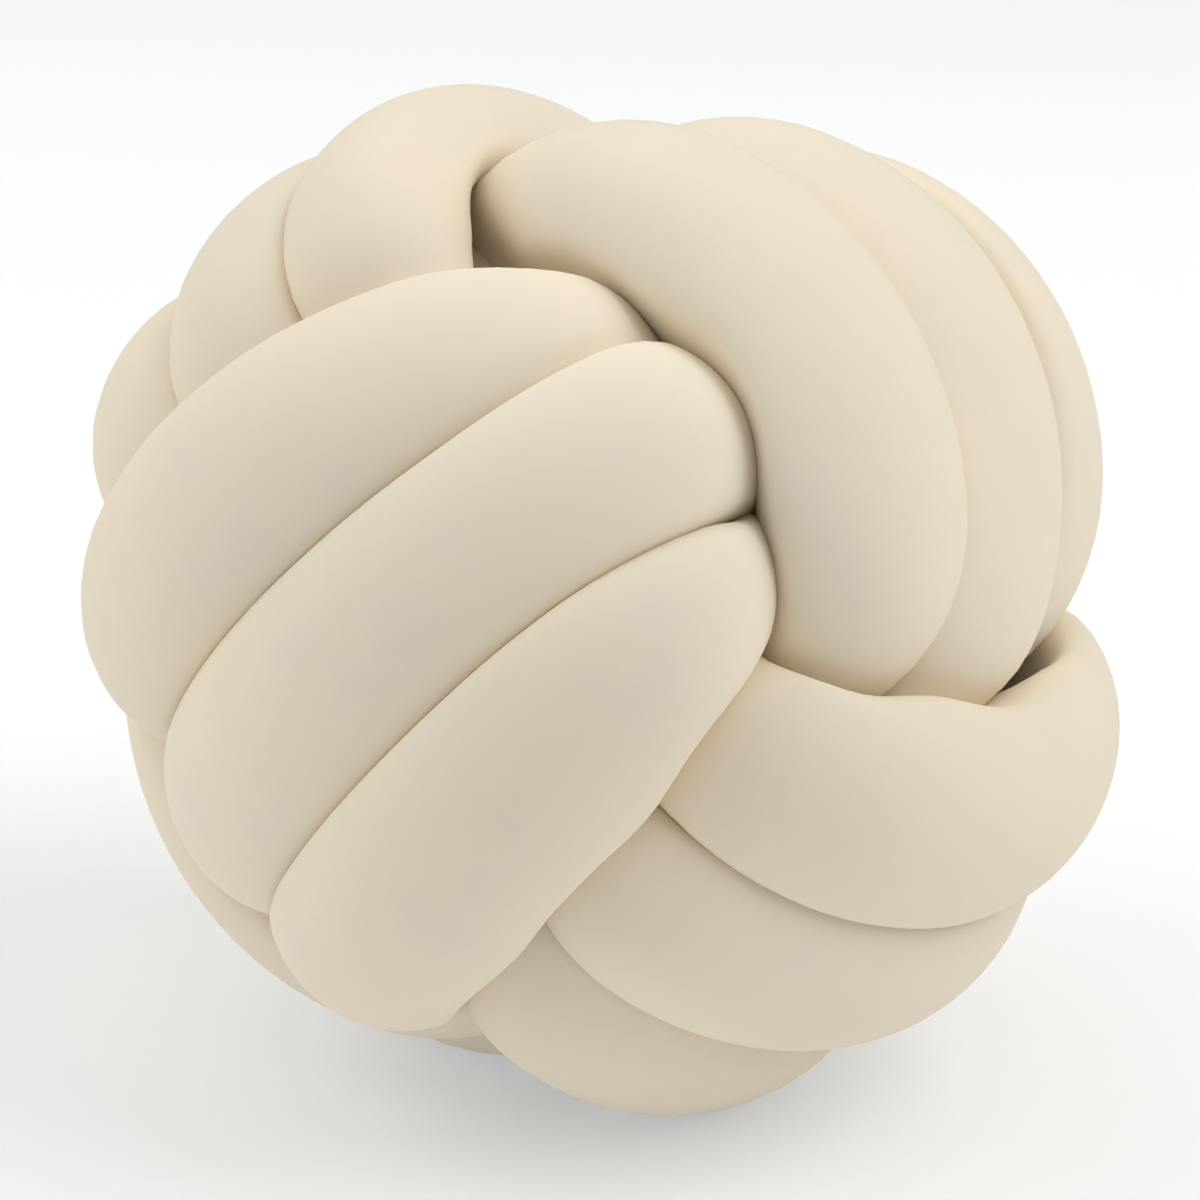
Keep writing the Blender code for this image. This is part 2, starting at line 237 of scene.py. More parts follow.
# the face that hides the tube between each strand and the next; None crosses the heart of the knot
HIDDEN_UNDER = (
    *(Face.Z_PLUS, Face.Z_MINUS, Face.Z_PLUS, Face.Z_MINUS, Face.Z_PLUS),
    None,
    *(Face.Y_MINUS, Face.Y_PLUS, Face.Y_MINUS, Face.Y_PLUS, Face.Y_MINUS),
    None,
    *(Face.X_PLUS, Face.X_MINUS, Face.X_PLUS, Face.X_MINUS, Face.X_PLUS),
)
FIRST_END = (Waypoint(3, -25, -41), Waypoint(22, -35, -63))
LAST_END = (Waypoint(-63, 22, -43), Waypoint(-47, -3, -41))
HEART_CROSSINGS = (
    (Waypoint(-24, 43, -63), Waypoint(16, 32, -41), Waypoint(32, 28, -8), Waypoint(43, 47, 27)),
    (Waypoint(-38, 63, -27), Waypoint(-32, 32, 0), Waypoint(-25, 0, 16), Waypoint(-44, -32, 32)),
)


@dataclass
class TubeLine:
    """The tube's centreline, sampled at an even step.

    Attributes:
        point: Places, in metres, in the knot's own frame.
        thick: Half thickness of the tube at each place.
        free: 1 in the hidden runs, 0 where the tube shows.
        step: Distance between two samples along the tube.
    """

    point: np.ndarray
    thick: np.ndarray
    free: np.ndarray
    step: float

    @classmethod
    def from_rows(cls, rows: np.ndarray, longest_step: float) -> "TubeLine":
        """Resample rows of x, y, z, half thickness and freedom at an even step.

        Args:
            rows: Points along the tube, in order.
            longest_step: The step is at most about this long.

        Returns:
            The evenly sampled line.
        """
        gaps = np.linalg.norm(np.diff(rows[:, :3], axis=0), axis=1)
        length = np.r_[0, np.cumsum(gaps)]
        at = np.linspace(0, length[-1], int(length[-1] / longest_step) + 1)
        even = np.stack([np.interp(at, length, column) for column in rows.T], axis=1)
        return cls(even[:, :3], even[:, 3], even[:, 4], at[1])

    @property
    def rows(self) -> np.ndarray:
        """The samples as rows of x, y, z, half thickness and freedom."""
        return np.column_stack([self.point, self.thick, self.free])

    @property
    def at(self) -> np.ndarray:
        """Each sample's distance from the first tucked end."""
        return np.arange(len(self.point)) * self.step

    @property
    def tangent(self) -> np.ndarray:
        """The direction of the tube at each sample."""
        return unit(np.gradient(self.point, axis=0))

    def sides(self) -> np.ndarray:
        """Carry a side vector along the line without twist.

        Returns:
            A unit vector across the tube at each sample.
        """
        tangent = self.tangent
        carried = [unit(np.cross(tangent[0], (0.0, 0.0, 1.0)))]
        for here in tangent[1:]:
            carried.append(unit(carried[-1] - here * (here @ carried[-1])))
        return np.array(carried)


@dataclass
class KnotRoute:
    """The way the tube takes through the knot, from one tucked end to the other, in metres."""

    dive: Dive = field(default_factory=Dive)
    line_step: float = 0.0080  # spacing of the samples along the centreline
    spline_steps: int = 12  # points of the spline between two knots
    lane_height: float = 0.0660  # hidden runs pass this far from the ball's centre
    lane_draw_in: float = 0.80  # hidden runs crowd together by this factor
    lane_shares: tuple[float, ...] = (0.28, 0.50, 0.72)  # a hidden run's knots on its way across
    lane_thick: float = 0.0260  # half thickness of a hidden run
    heart_thick: float = 0.0250  # half thickness where the tube crosses the heart of the knot
    end_thick: float = 0.0240  # half thickness at the tucked ends
    same_run: float = 0.0790  # samples nearer than this along the tube are of one run
    squeeze: float = 0.93  # hidden runs are pushed until this share of their thickness apart
    ease_rounds: int = 60  # rounds of pushing the hidden runs apart
    ease_push: float = 0.10  # share of an overlap undone in a round
    ease_bend: float = 0.03  # share of a sharp bend undone in a round
    ease_even: float = 0.10  # share of an uneven spacing undone in a round
    last_rounds: int = 6  # rounds of evening out at the end
    last_even: float = 0.5  # share undone in each of them

    def waypoint_rows(self, waypoints: Iterable[Waypoint], thick: float) -> np.ndarray:
        """Return knots for a run given by waypoints inside the knot."""
        return np.array([[w.x * MM, w.y * MM, w.z * MM, thick, 1.0] for w in waypoints])

    def lane_rows(self, leaving: np.ndarray, entering: np.ndarray, face: Face) -> np.ndarray:
        """Lead the tube under a face from one visible strand to the next.

        Args:
            leaving: Last knot of the strand before.
            entering: First knot of the strand after.
            face: The face whose strands hide the run.

        Returns:
            Knots of the hidden run.
        """
        up = face.out
        travel = entering[:3] - leaving[:3]
        travel = travel - (travel @ up) * up
        along = np.zeros(3)
        along[np.argmax(np.abs(travel))] = 1.0
        side = np.cross(up, along)
        rows = []
        for share in self.lane_shares:
            point = leaving[:3] * (1 - share) + entering[:3] * share
            point = point - (point @ up) * up
            point = point - (point @ side) * side * (1 - self.lane_draw_in)
            rows.append([*(point + self.lane_height * up), self.lane_thick, 1.0])
        return np.array(rows)

    def knots(self) -> np.ndarray:
        """Line up the centreline's knots from one tucked end to the other.

        Returns:
            Rows of x, y, z, half thickness (metres) and freedom.
        """
        passes = [strand.knots(self.dive) for strand in STRANDS]
        crossings = iter(HEART_CROSSINGS)
        parts = [self.waypoint_rows(FIRST_END, self.end_thick), passes[0]]
        for face, before, after in zip(HIDDEN_UNDER, passes[:-1], passes[1:]):
            if face is None:
                parts.append(self.waypoint_rows(next(crossings), self.heart_thick))
            else:
                parts.append(self.lane_rows(before[-1], after[0], face))
            parts.append(after)
        parts.append(self.waypoint_rows(LAST_END, self.end_thick))
        return np.vstack(parts)

    def spline(self, knots: np.ndarray) -> np.ndarray:
        """Lead the centripetal spline through the knots.

        Args:
            knots: Rows of x, y, z, half thickness and freedom.

        Returns:
            The same columns, densely sampled.
        """
        padded = np.vstack([2 * knots[0] - knots[1], knots, 2 * knots[-1] - knots[-2]])
        pieces = []
        for k in range(len(padded) - 3):
            p0, p1, p2, p3 = padded[k : k + 4]
            t1 = math.sqrt(np.linalg.norm((p1 - p0)[:3]))
            t2 = t1 + math.sqrt(np.linalg.norm((p2 - p1)[:3]))
            t3 = t2 + math.sqrt(np.linalg.norm((p3 - p2)[:3]))
            t = np.linspace(t1, t2, self.spline_steps, endpoint=False)[:, None]
            a1 = ((t1 - t) * p0 + t * p1) / t1
            a2 = ((t2 - t) * p1 + (t - t1) * p2) / (t2 - t1)
            a3 = ((t3 - t) * p2 + (t - t2) * p3) / (t3 - t2)
            b1 = ((t2 - t) * a1 + t * a2) / t2
            b2 = ((t3 - t) * a2 + (t - t1) * a3) / (t3 - t1)
            pieces.append(((t2 - t) * b1 + (t - t1) * b2) / (t2 - t1))
        return np.vstack([*pieces, knots[-1:]])

    def eased(self, line: TubeLine) -> TubeLine:
        """Push the hidden runs clear of one another and even them out.

        Args:
            line: The line through the knots.

        Returns:
            The same line with its hidden runs shifted; the visible strands stay.
        """
        point = line.point.copy()
        free = np.clip(line.free, 0, 1)[:, None]
        index = np.arange(len(point))
        other_run = np.abs(index[:, None] - index[None]) * line.step > self.same_run
        wanted = (line.thick[:, None] + line.thick[None]) * self.squeeze
        for _ in range(self.ease_rounds):
            apart = point[:, None] - point[None]
            distance = np.linalg.norm(apart, axis=2) + TINY
            close = other_run & (distance < wanted)
            push = np.where(close, (wanted - distance) / distance, 0)
            shift = self.ease_push * (apart * push[:, :, None]).sum(axis=1)
            bend = -point[4:] + 4 * point[3:-1] - 6 * point[2:-2] + 4 * point[1:-3] - point[:-4]
            shift[2:-2] += self.ease_bend * bend
            shift[1:-1] += self.ease_even * off_the_chord(point)
            point = point + free * shift
        for _ in range(self.last_rounds):
            point[1:-1] += free[1:-1] * self.last_even * off_the_chord(point)
        return TubeLine(point, line.thick, line.free, line.step)

    def line(self) -> TubeLine:
        """Return the tube's finished centreline."""
        drawn = TubeLine.from_rows(self.spline(self.knots()), self.line_step)
        return TubeLine.from_rows(self.eased(drawn).rows, self.line_step)


def off_the_chord(point: np.ndarray) -> np.ndarray:
    """Return how far each inner point lies from midway between its two neighbours."""
    return (point[2:] + point[:-2]) / 2 - point[1:-1]


# ---- the skin of the tube ------------------------------------------------------------------------


@dataclass
class StuffedSkin:
    """The cover of the tube as the filling swells it against its neighbours, in metres."""

    sections: int = 1100  # cross sections along the tube
    sides: int = 90  # points round each cross section
    hidden_share: float = 0.40  # section density in the hidden runs against the visible ones
    press: float = 0.0010  # each of two visible strands goes this far past the plane they share
    hidden_half_gap: float = 0.0015  # the hidden runs keep this far from the planes they share
    neighbour_step: float = 0.0040  # spacing of the samples that a section is pressed against
    thinnest: float = 0.0030  # a pinched section never gets thinner than this
    same_run: float = 0.0790  # samples nearer than this along the tube are of one run
    reach: float = 0.1190  # samples further away than this never touch
    side_swell: float = 0.80  # how much wider a strand may spread sideways and inward
    full_swell_height: float = 0.126  # from this height over the centre that swell is full
    crease_round_deg: float = 4.0  # softening of a crease round the section
    crease_round_run: float = 0.0045  # softening of a crease along the tube
    crease_power: float = 8.0  # how strongly the softening keeps to the pinched side
    taut_run: float = 0.0100  # the taut cloth evens out its girth along the tube over this width
    fold_share: float = 0.9  # inside a bend, this share of the way to the next section
    tip_share: float = 0.02  # the first section's place in the rounding of a tucked end
    end_thick: float = 0.0240  # length of the rounding of a tucked end

    def places(self, line: TubeLine) -> np.ndarray:
        """Choose where the cross sections sit, closer together where the tube shows.

        Args:
            line: The tube's centreline.

        Returns:
            Each section's distance along the tube.
        """
        density = 1 - (1 - self.hidden_share) * np.clip(line.free, 0, 1)
        total = np.r_[0, np.cumsum((density[1:] + density[:-1]) / 2)]
        return np.interp(np.linspace(0, total[-1], self.sections), total, line.at)

    def swell(self, line: TubeLine) -> tuple[np.ndarray, np.ndarray]:
        """Swell each cross section until it meets the planes it shares with its neighbours.

        Args:
            line: The tube's centreline.

        Returns:
            Surface points, sections by sides, in the knot's own frame, and each section's
            distance along the tube.
        """
        line = TubeLine.from_rows(line.rows, self.neighbour_step)
        at = line.at
        tangent = line.tangent
        places = self.places(line)
        centre = spread(line.point, at, places)
        forward = unit(spread(tangent, at, places))
        across = spread(line.sides(), at, places)
        across = unit(across - forward * (across * forward).sum(axis=1, keepdims=True))
        over = np.cross(forward, across)
        angle = np.linspace(0, 2 * math.pi, self.sides, endpoint=False)[None, :, None]
        ray = np.cos(angle) * across[:, None] + np.sin(angle) * over[:, None]
        own = np.interp(places, at, line.thick)
        height = np.linalg.norm(centre, axis=1)
        facing = (ray * (centre / height[:, None])[:, None]).sum(axis=2)
        depth = np.clip(height / self.full_swell_height, 0, 1)[:, None]
        limit = own[:, None] * (1 + self.side_swell * (1 - facing) / 2 * depth)
        hidden = np.interp(places, at, np.clip(line.free, 0, 1))
        gap = self.hidden_half_gap * hidden - self.press * (1 - hidden)
        for i in range(self.sections):
            towards = line.point - centre[i]
            square = (towards * towards).sum(axis=1)
            along = np.abs(at - places[i])
            other = (along > self.same_run) & (square < self.reach**2)
            power = (square[other] - line.thick[other] ** 2 + own[i] ** 2) / 2
            wall = distance_to_wall(ray[i], towards[other], power) - gap[i]
            near = (along <= self.same_run) & (along > line.step)
            lift = (towards[near] * tangent[near]).sum(axis=1)
            fold = self.fold_share * distance_to_fold(ray[i], tangent[near], lift)
            limit[i] = np.minimum(limit[i], np.minimum(np.maximum(wall, self.thinnest), fold))
        radius = along_run(places, self.taut_run) @ np.minimum(limit, self.softened(limit, places))
        from_end = np.minimum(places, places[-1] - places) / self.end_thick
        radius *= np.sqrt(1 - (1 - np.clip(from_end, self.tip_share, 1)) ** 2)[:, None]
        return centre[:, None] + ray * radius[:, :, None], places

    def softened(self, limit: np.ndarray, places: np.ndarray) -> np.ndarray:
        """Blend the radii round and along the tube, biased to the smaller ones.

        Args:
            limit: Radii, sections by sides.
            places: Each section's distance along the tube.

        Returns:
            The blended radii.
        """
        inverse = limit**-self.crease_power
        index = np.arange(self.sides)
        offset = index[:, None] - index[None]
        offset = (offset + self.sides // 2) % self.sides - self.sides // 2
        round_weight = bell(offset * 360.0 / self.sides, self.crease_round_deg)
        round_weight /= round_weight.sum(axis=0)
        run_weight = along_run(places, self.crease_round_run)
        return (run_weight @ inverse @ round_weight) ** (-1 / self.crease_power)


def along_run(places: np.ndarray, width: float) -> np.ndarray:
    """Return the weights that blend each section with its neighbours along the tube."""
    weight = bell(places[:, None] - places[None], width)
    return weight / weight.sum(axis=1, keepdims=True)


def spread(table: np.ndarray, at: np.ndarray, places: np.ndarray) -> np.ndarray:
    """Return the rows of a table sampled at the given places along the line."""
    return np.stack([np.interp(places, at, column) for column in table.T], axis=1)


def distance_to_wall(ray: np.ndarray, towards: np.ndarray, power: np.ndarray) -> np.ndarray:
    """Return how far each ray runs to the planes between a section and its neighbours.

    Args:
        ray: Unit rays of one section.
        towards: Vectors from the section's centre to the neighbours' centreline samples.
        power: Each plane's place along such a vector, times the vector's length.

    Returns:
        The shortest distance for each ray.
    """
    slope = ray @ towards.T
    return np.where(slope > TINY, power / np.maximum(slope, TINY), FAR).min(axis=1)


def distance_to_fold(ray: np.ndarray, tangent: np.ndarray, lift: np.ndarray) -> np.ndarray:
    """Return how far each ray runs to the planes of the tube's own sections before and after.

    Args:
        ray: Unit rays of one section.
        tangent: Directions of the tube at the sections near it.
        lift: How far those sections' planes stand off along their tangents.

    Returns:
        The shortest distance for each ray.
    """
    tilt = ray @ tangent.T
    meets = tilt * lift > TINY
    return np.where(meets, lift / np.where(meets, tilt, 1.0), FAR).min(axis=1)


# ---- the finish ----------------------------------------------------------------------------------


def add_node(
    tree: bpy.types.NodeTree,
    kind: str,
    settings: dict[str, object] | None = None,
    links: dict[str, bpy.types.NodeSocket] | None = None,
) -> bpy.types.Node:
    """Add a node with its settings and its incoming links.

    Args:
        tree: The material's node tree.
        kind: The node's type name.
        settings: Values by socket name, or by property name where no socket has it.
        links: Output sockets by the name of the input that each one feeds.

    Returns:
        The new node.
    """
    node = tree.nodes.new(kind)
    for name, value in (settings or {}).items():
        if name in node.inputs:
            node.inputs[name].default_value = value
        else:
            setattr(node, name, value)
    for name, socket in (links or {}).items():
        tree.links.new(socket, node.inputs[name])
    return node


@dataclass(frozen=True)
class CottonJersey:
    """Brushed cotton jersey, a fine weft knit with a little elastane, stretched over filling.

    A matte, slightly downy cream cloth: it has no gloss, its edges turn pale where the down
    catches the light, and its knit is too fine to see from a step away.

    Attributes:
        name: The material's name.
        colour: The warm cream of the dye, as sRGB hex.
        shade: The cooler cream of its clouds, as sRGB hex.
        cloud_mm: Size of those clouds.
        cloud_detail: How many finer sizes of cloud lie in them.
        cloud_roughness: How strong the finer clouds are.
        cloud_range: The clouds' values at which the cloth is all shade and all colour.
        wale_mm: Spacing of the knit's columns; real ones are about 0.7 mm, drawn at 1.2 mm.
        course_mm: Spacing of its rows; real ones are about 0.5 mm, drawn at 0.9 mm.
        knit_depth_mm: Depth of the knit's relief.
        stray: How far the columns and rows stray from straight lines.
        stray_detail: How many finer sizes of straying lie in that.
        stray_scale: How quickly they stray.
        down_mm: Size of the tufts of its down.
        down_detail: How many finer sizes of tuft lie in them.
        down_roughness: How strong the finer tufts are.
        down_depth_mm: Height of those tufts.
        roughness: Cotton has no polish at all.
        ior: Cellulose fibre.
        sheen: Weight of the down's pale edge.
        sheen_roughness: Spread of that edge.
    """

    name: str = "brushed_cotton_jersey"
    colour: str = "#EFE1CA"
    shade: str = "#E9DFCC"
    cloud_mm: float = 45.0
    cloud_detail: float = 3.0
    cloud_roughness: float = 0.55
    cloud_range: tuple[float, float] = (0.35, 0.65)
    wale_mm: float = 1.2
    course_mm: float = 0.9
    knit_depth_mm: float = 0.004
    stray: float = 0.6
    stray_detail: float = 1.0
    stray_scale: float = 2.0
    down_mm: float = 2.5
    down_detail: float = 4.0
    down_roughness: float = 0.6
    down_depth_mm: float = 0.02
    roughness: float = 0.92
    ior: float = 1.47
    sheen: float = 0.22
    sheen_roughness: float = 0.45

    def build(self) -> bpy.types.Material:
        """Put together the clouded dye, the relief of knit and down, and a soft sheen.

        Returns:
            The material.
        """
        material = bpy.data.materials.new(self.name)
        material.use_nodes = True
        tree = material.node_tree
        shader = tree.nodes["Principled BSDF"]
        shader.inputs["Roughness"].default_value = self.roughness
        shader.inputs["IOR"].default_value = self.ior
        shader.inputs["Sheen Weight"].default_value = self.sheen
        shader.inputs["Sheen Roughness"].default_value = self.sheen_roughness
        shader.inputs["Sheen Tint"].default_value = linear(self.colour)
        tree.links.new(self.dye(tree).outputs["Color"], shader.inputs["Base Color"])
        tree.links.new(self.relief(tree).outputs["Normal"], shader.inputs["Normal"])
        return material

    def dye(self, tree: bpy.types.NodeTree) -> bpy.types.Node:
        """Cloud the cloth's colour a little.

        Args:
            tree: The material's node tree.

        Returns:
            The node whose result is the colour.
        """
        place = add_node(tree, "ShaderNodeTexCoord")
        clouds = add_node(
            tree,
            "ShaderNodeTexNoise",
            {
                "Scale": 1 / (self.cloud_mm * MM),
                "Detail": self.cloud_detail,
                "Roughness": self.cloud_roughness,
            },
            {"Vector": place.outputs["Object"]},
        )
        tones = add_node(tree, "ShaderNodeValToRGB", None, {"Fac": clouds.outputs["Fac"]})
        stops = tones.color_ramp.elements
        for stop, position, tone in zip(stops, self.cloud_range, (self.shade, self.colour)):
            stop.position = position
            stop.color = linear(tone)
        return tones

    def relief(self, tree: bpy.types.NodeTree) -> bpy.types.Node:
        """Raise the knit's columns and rows, and the down over them.

        Args:
            tree: The material's node tree.

        Returns:
            The bump node that carries them all.
        """
        cloth = add_node(tree, "ShaderNodeUVMap", {"uv_map": CLOTH_UV})
        wales = self.ribs(tree, cloth, "X", self.wale_mm)
        courses = self.ribs(tree, cloth, "Y", self.course_mm)
        knit = add_node(tree, "ShaderNodeMath", {"operation": "MULTIPLY"})
        tree.links.new(wales.outputs["Fac"], knit.inputs[0])
        tree.links.new(courses.outputs["Fac"], knit.inputs[1])
        knit_bump = add_node(
            tree,
            "ShaderNodeBump",
            {"Strength": 1.0, "Distance": self.knit_depth_mm * MM},
            {"Height": knit.outputs["Value"]},
        )
        place = add_node(tree, "ShaderNodeTexCoord")
        tufts = add_node(
            tree,
            "ShaderNodeTexNoise",
            {
                "Scale": 1 / (self.down_mm * MM),
                "Detail": self.down_detail,
                "Roughness": self.down_roughness,
            },
            {"Vector": place.outputs["Object"]},
        )
        return add_node(
            tree,
            "ShaderNodeBump",
            {"Strength": 1.0, "Distance": self.down_depth_mm * MM},
            {"Height": tufts.outputs["Fac"], "Normal": knit_bump.outputs["Normal"]},
        )

    def ribs(
        self, tree: bpy.types.NodeTree, cloth: bpy.types.Node, axis: str, pitch_mm: float
    ) -> bpy.types.Node:
        """Draw waves across the cloth.

        Args:
            tree: The material's node tree.
            cloth: The node that gives the cloth's own map, in metres.
            axis: The map's axis along which the waves follow one another, "X" or "Y".
            pitch_mm: The distance from one wave to the next.

        Returns:
            The node whose result is the height of the waves.
        """
        return add_node(
            tree,
            "ShaderNodeTexWave",
            {
                "wave_type": "BANDS",
                "bands_direction": axis,
                "wave_profile": "SIN",
                "Scale": 2 * math.pi / (WAVE_PHASE * pitch_mm * MM),
                "Distortion": self.stray,
                "Detail": self.stray_detail,
                "Detail Scale": self.stray_scale,
            },
            {"Vector": cloth.outputs["UV"]},
        )


# ---- the cushion ---------------------------------------------------------------------------------


@dataclass
class KnotCushion:
    """The whole cushion: one stuffed tube wound into a ball, resting on its flat spots."""

    route: KnotRoute = field(default_factory=KnotRoute)
    skin: StuffedSkin = field(default_factory=StuffedSkin)
    jersey: CottonJersey = field(default_factory=CottonJersey)
    rest_turn_deg: tuple[float, float, float] = (-38.33, -10.53, -120.37)  # about X, Y, Z
    centre: tuple[float, float, float] = (-0.0015, 0.0038, 0.1479)  # the ball's, over the floor
    tube_round_m: float = 0.19  # the cloth's width round the tube
    fill: float = 0.9

    def on_the_floor(self, points: np.ndarray) -> np.ndarray:
        """Turn points of the knot's own frame to their place at rest.

        Args:
            points: Places in the knot's own frame.

        Returns:
            Places over the floor, the underside pressed flat where it touches.
        """
        turn = np.array(Euler([math.radians(a) for a in self.rest_turn_deg], "XYZ").to_matrix())
        placed = points @ turn.T + np.array(self.centre)
        placed[:, 2] = np.maximum(placed[:, 2], 0.0)
        return placed

    def mesh(self) -> bpy.types.Mesh:
        """Close the skin of the tube and lay the cloth's own map on it.

        Returns:
            The skin in its place on the floor.
        """
        grid, places = self.skin.swell(self.route.line())
        count, sides = grid.shape[:2]
        ends = np.stack([grid[0].mean(axis=0), grid[-1].mean(axis=0)])
        points = self.on_the_floor(np.vstack([grid.reshape(-1, 3), ends]))
        row, column = np.meshgrid(np.arange(count - 1), np.arange(sides), indexing="ij")
        after = (column + 1) % sides
        corners = (row * sides + column, row * sides + after)
        quads = np.stack([*corners, corners[1] + sides, corners[0] + sides], axis=-1).reshape(-1, 4)
        ring = np.arange(sides)
        first, last = count * sides, (count - 1) * sides
        caps = [(first, (j + 1) % sides, j) for j in ring]
        caps += [(first + 1, last + j, last + (j + 1) % sides) for j in ring]
        mesh = bpy.data.meshes.new("stuffed_tube")
        mesh.from_pydata(points.tolist(), [], [*quads.tolist(), *caps])
        mesh.polygons.foreach_set("use_smooth", [True] * len(mesh.polygons))
        round_m = np.stack([column, column + 1, column + 1, column], axis=-1) * self.tube_round_m / sides
        along_m = np.stack([places[row], places[row], places[row + 1], places[row + 1]], axis=-1)
        cloth = np.zeros((len(mesh.loops), 2))
        cloth[: quads.size] = np.stack([round_m, along_m], axis=-1).reshape(-1, 2)
        mesh.uv_layers.new(name=CLOTH_UV).data.foreach_set("uv", cloth.ravel())
        mesh.update()
        return mesh

    def build(self) -> bpy.types.Object:
        """Returns:
            The cushion's object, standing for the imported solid.
        """
        mesh = self.mesh()
        mesh.materials.append(self.jersey.build())
        cushion = bpy.data.objects.new("stuffed_tube", mesh)
        bpy.context.scene.collection.objects.link(cushion)
        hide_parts(NODE)
        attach(cushion, BODY)
        log.info("%s: %d faces", cushion.name, len(mesh.polygons))
        return cushion


# ---- the studio ----------------------------------------------------------------------------------


@dataclass(frozen=True)
class Softbox:
    """A large soft light.

    Attributes:
        name: Its name.
        azimuth_deg: Where it stands round the cushion; 0 is at the camera, 90 to its right.
        elevation_deg: How high it stands.
        power: In watts.
        distance: Its distance from the cushion, in metres.
        size: Its edge, in metres.
        colour: As sRGB hex.
    """

    name: str
    azimuth_deg: float
    elevation_deg: float
    power: float
    distance: float = 4.5
    size: float = 4.2
    colour: str = "#FFFFFF"

    def build(self, aim: Vector) -> bpy.types.Object:
        """Hang the light, aimed at a place.

        Args:
            aim: The place, in metres.

        Returns:
            The light's object.
        """
        lamp = bpy.data.lights.new(self.name, "AREA")
        lamp.energy = self.power
        lamp.size = self.size
        lamp.color = linear(self.colour)[:3]
        softbox = bpy.data.objects.new(self.name, lamp)
        bpy.context.scene.collection.objects.link(softbox)
        back = direction(self.azimuth_deg, self.elevation_deg)
        softbox.location = aim + back * self.distance
        softbox.rotation_euler = back.to_track_quat("Z", "Y").to_euler()
        return softbox


def direction(azimuth_deg: float, elevation_deg: float) -> Vector:
    """Turn two angles into a direction away from the cushion.

    Args:
        azimuth_deg: The way round the cushion; 0 is at the camera, 90 to its right.
        elevation_deg: The angle over the floor.

    Returns:
        The unit vector towards that side.
    """
    azimuth, elevation = math.radians(azimuth_deg), math.radians(elevation_deg)
    flat = math.cos(elevation)
    return Vector((math.sin(azimuth) * flat, -math.cos(azimuth) * flat, math.sin(elevation)))


@dataclass(frozen=True)
class GlowingFloor:
    """A floor of opal acrylic, even, matte and white, glowing of itself: painted light that thins the
    shadows.

    Attributes:
        name: The material's name.
        colour: The warm white of the acrylic, as sRGB hex.
        glow_colour: The cooler white of its painted glow, as sRGB hex.
        roughness: Fully matte.
        glow: Strength of its painted glow.
        grain_mm: Size of its fine grain.
        grain_depth_mm: Depth of that grain.
    """

    name: str = "opal_floor_with_painted_glow"
    colour: str = "#E1DFDA"
    glow_colour: str = "#E5F0FF"
    roughness: float = 1.0
    glow: float = 0.295
    grain_mm: float = 6.0
    grain_depth_mm: float = 0.02

    def build(self) -> bpy.types.Material:
        """Put together the matte white, its glow and its fine grain.

        Returns:
            The material.
        """
        material = bpy.data.materials.new(self.name)
        material.use_nodes = True
        tree = material.node_tree
        shader = tree.nodes["Principled BSDF"]
        shader.inputs["Base Color"].default_value = linear(self.colour)
        shader.inputs["Roughness"].default_value = self.roughness
        shader.inputs["Specular IOR Level"].default_value = 0.0
        # painted glow: the floor gives off light of its own, with no lamp under it, to thin the shadows
        shader.inputs["Emission Color"].default_value = linear(self.glow_colour)
        shader.inputs["Emission Strength"].default_value = self.glow
        place = add_node(tree, "ShaderNodeTexCoord")
        grain = add_node(
            tree,
            "ShaderNodeTexNoise",
            {"Scale": 1 / (self.grain_mm * MM)},
            {"Vector": place.outputs["Object"]},
        )
        bump = add_node(
            tree,
            "ShaderNodeBump",
            {"Distance": self.grain_depth_mm * MM},
            {"Height": grain.outputs["Fac"]},
        )
        tree.links.new(bump.outputs["Normal"], shader.inputs["Normal"])
        return material


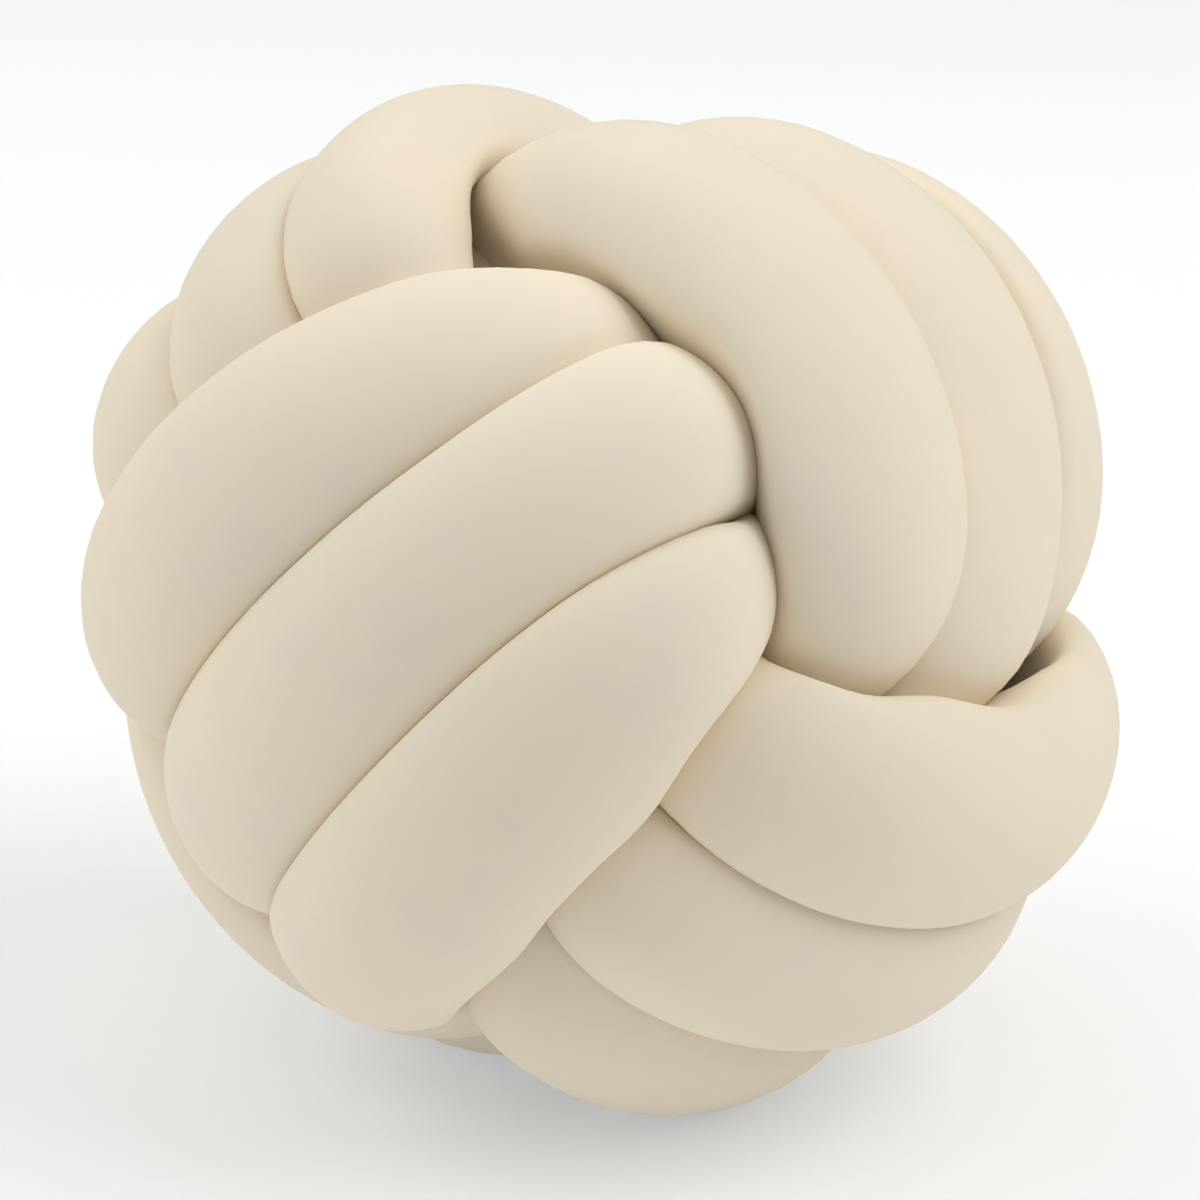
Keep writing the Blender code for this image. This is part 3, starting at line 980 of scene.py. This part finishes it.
@dataclass
class Studio:
    """A pale floor, a dark room and large soft lights on every side."""

    floor_edge: float = 14.0  # metres
    floor_drop: float = 0.0001  # the floor lies this far under the cushion
    room_colour: str = "#FFFFFF"
    room_light: float = 0.01  # strength of the little light that the room's walls give
    # the floor, which carries a painted glow
    table: GlowingFloor = field(default_factory=GlowingFloor)
    softboxes: Sequence[Softbox] = (
        Softbox("right_softbox", azimuth_deg=85.0, elevation_deg=45.0, power=151.0),
        Softbox("left_softbox", azimuth_deg=270.0, elevation_deg=30.0, power=92.0),
        Softbox("left_front_softbox", azimuth_deg=300.0, elevation_deg=50.0, power=20.0),
        Softbox("front_softbox", azimuth_deg=0.0, elevation_deg=55.0, power=42.0),
        Softbox("back_left_softbox", azimuth_deg=230.0, elevation_deg=45.0, power=26.0),
        Softbox("back_softbox", azimuth_deg=180.0, elevation_deg=65.0, power=55.0),
    )

    def build(self, aim: Vector) -> None:
        """Lay the floor, light the room and hang the softboxes.

        Args:
            aim: The place that the softboxes stand round and face, in metres.
        """
        edge = self.floor_edge / 2
        corners = [(-edge, -edge), (edge, -edge), (edge, edge), (-edge, edge)]
        mesh = bpy.data.meshes.new("studio_floor")
        mesh.from_pydata([(x, y, -self.floor_drop) for x, y in corners], [], [(0, 1, 2, 3)])
        mesh.materials.append(self.table.build())
        floor = bpy.data.objects.new("studio_floor", mesh)
        bpy.context.scene.collection.objects.link(floor)
        world = bpy.data.worlds.new("dark_room")
        bpy.context.scene.world = world
        world.use_nodes = True
        room = world.node_tree.nodes["Background"]
        room.inputs["Color"].default_value = linear(self.room_colour)
        room.inputs["Strength"].default_value = self.room_light
        for softbox in self.softboxes:
            softbox.build(aim)
        log.info("studio: floor and %d softboxes", len(self.softboxes))


@dataclass
class PhotoCamera:
    """The camera at the photograph's angle, aimed at the ball's centre.

    Attributes:
        azimuth_deg: The way round the cushion; 0 is at the side that the photograph shows.
        elevation_deg: The angle over the floor.
        roll_deg: How far the camera is turned about its own axis.
        distance: From the ball's centre, in metres.
        lens_mm: Focal length.
        sensor_mm: Width of the sensor.
        shift_x: Sideways shift of the lens, as a share of the picture's width.
        shift_y: Upward shift of the lens, as a share of the picture's width.
    """

    azimuth_deg: float = 0.0
    elevation_deg: float = 19.3
    roll_deg: float = 2.5
    distance: float = 1.115
    lens_mm: float = 110.4
    sensor_mm: float = 36.0
    shift_x: float = 0.0008
    shift_y: float = -0.0148

    def build(self, aim: Vector) -> bpy.types.Object:
        """Set up the camera.

        Args:
            aim: The place that it looks at, in metres.

        Returns:
            The camera's object, which is also the scene's camera.
        """
        lens = bpy.data.cameras.new("photo_camera")
        lens.lens = self.lens_mm
        lens.sensor_width = self.sensor_mm
        lens.shift_x = self.shift_x
        lens.shift_y = self.shift_y
        camera = bpy.data.objects.new("photo_camera", lens)
        bpy.context.scene.collection.objects.link(camera)
        back = direction(self.azimuth_deg, self.elevation_deg)
        level = back.to_track_quat("Z", "Y").to_matrix()
        rolled = level @ Matrix.Rotation(math.radians(self.roll_deg), 3, "Z")
        camera.matrix_world = Matrix.Translation(aim + back * self.distance) @ rolled.to_4x4()
        bpy.context.scene.camera = camera
        return camera


def main() -> None:
    """Build the cushion, the studio and the camera."""
    logging.basicConfig(level=logging.INFO, format="%(name)s: %(message)s")
    cushion = KnotCushion()
    aim = Vector(cushion.centre)
    cushion.build()
    PhotoCamera().build(aim)
    Studio().build(aim)
    bpy.context.scene.view_settings.view_transform = "Standard"


if __name__ == "__main__":
    main()
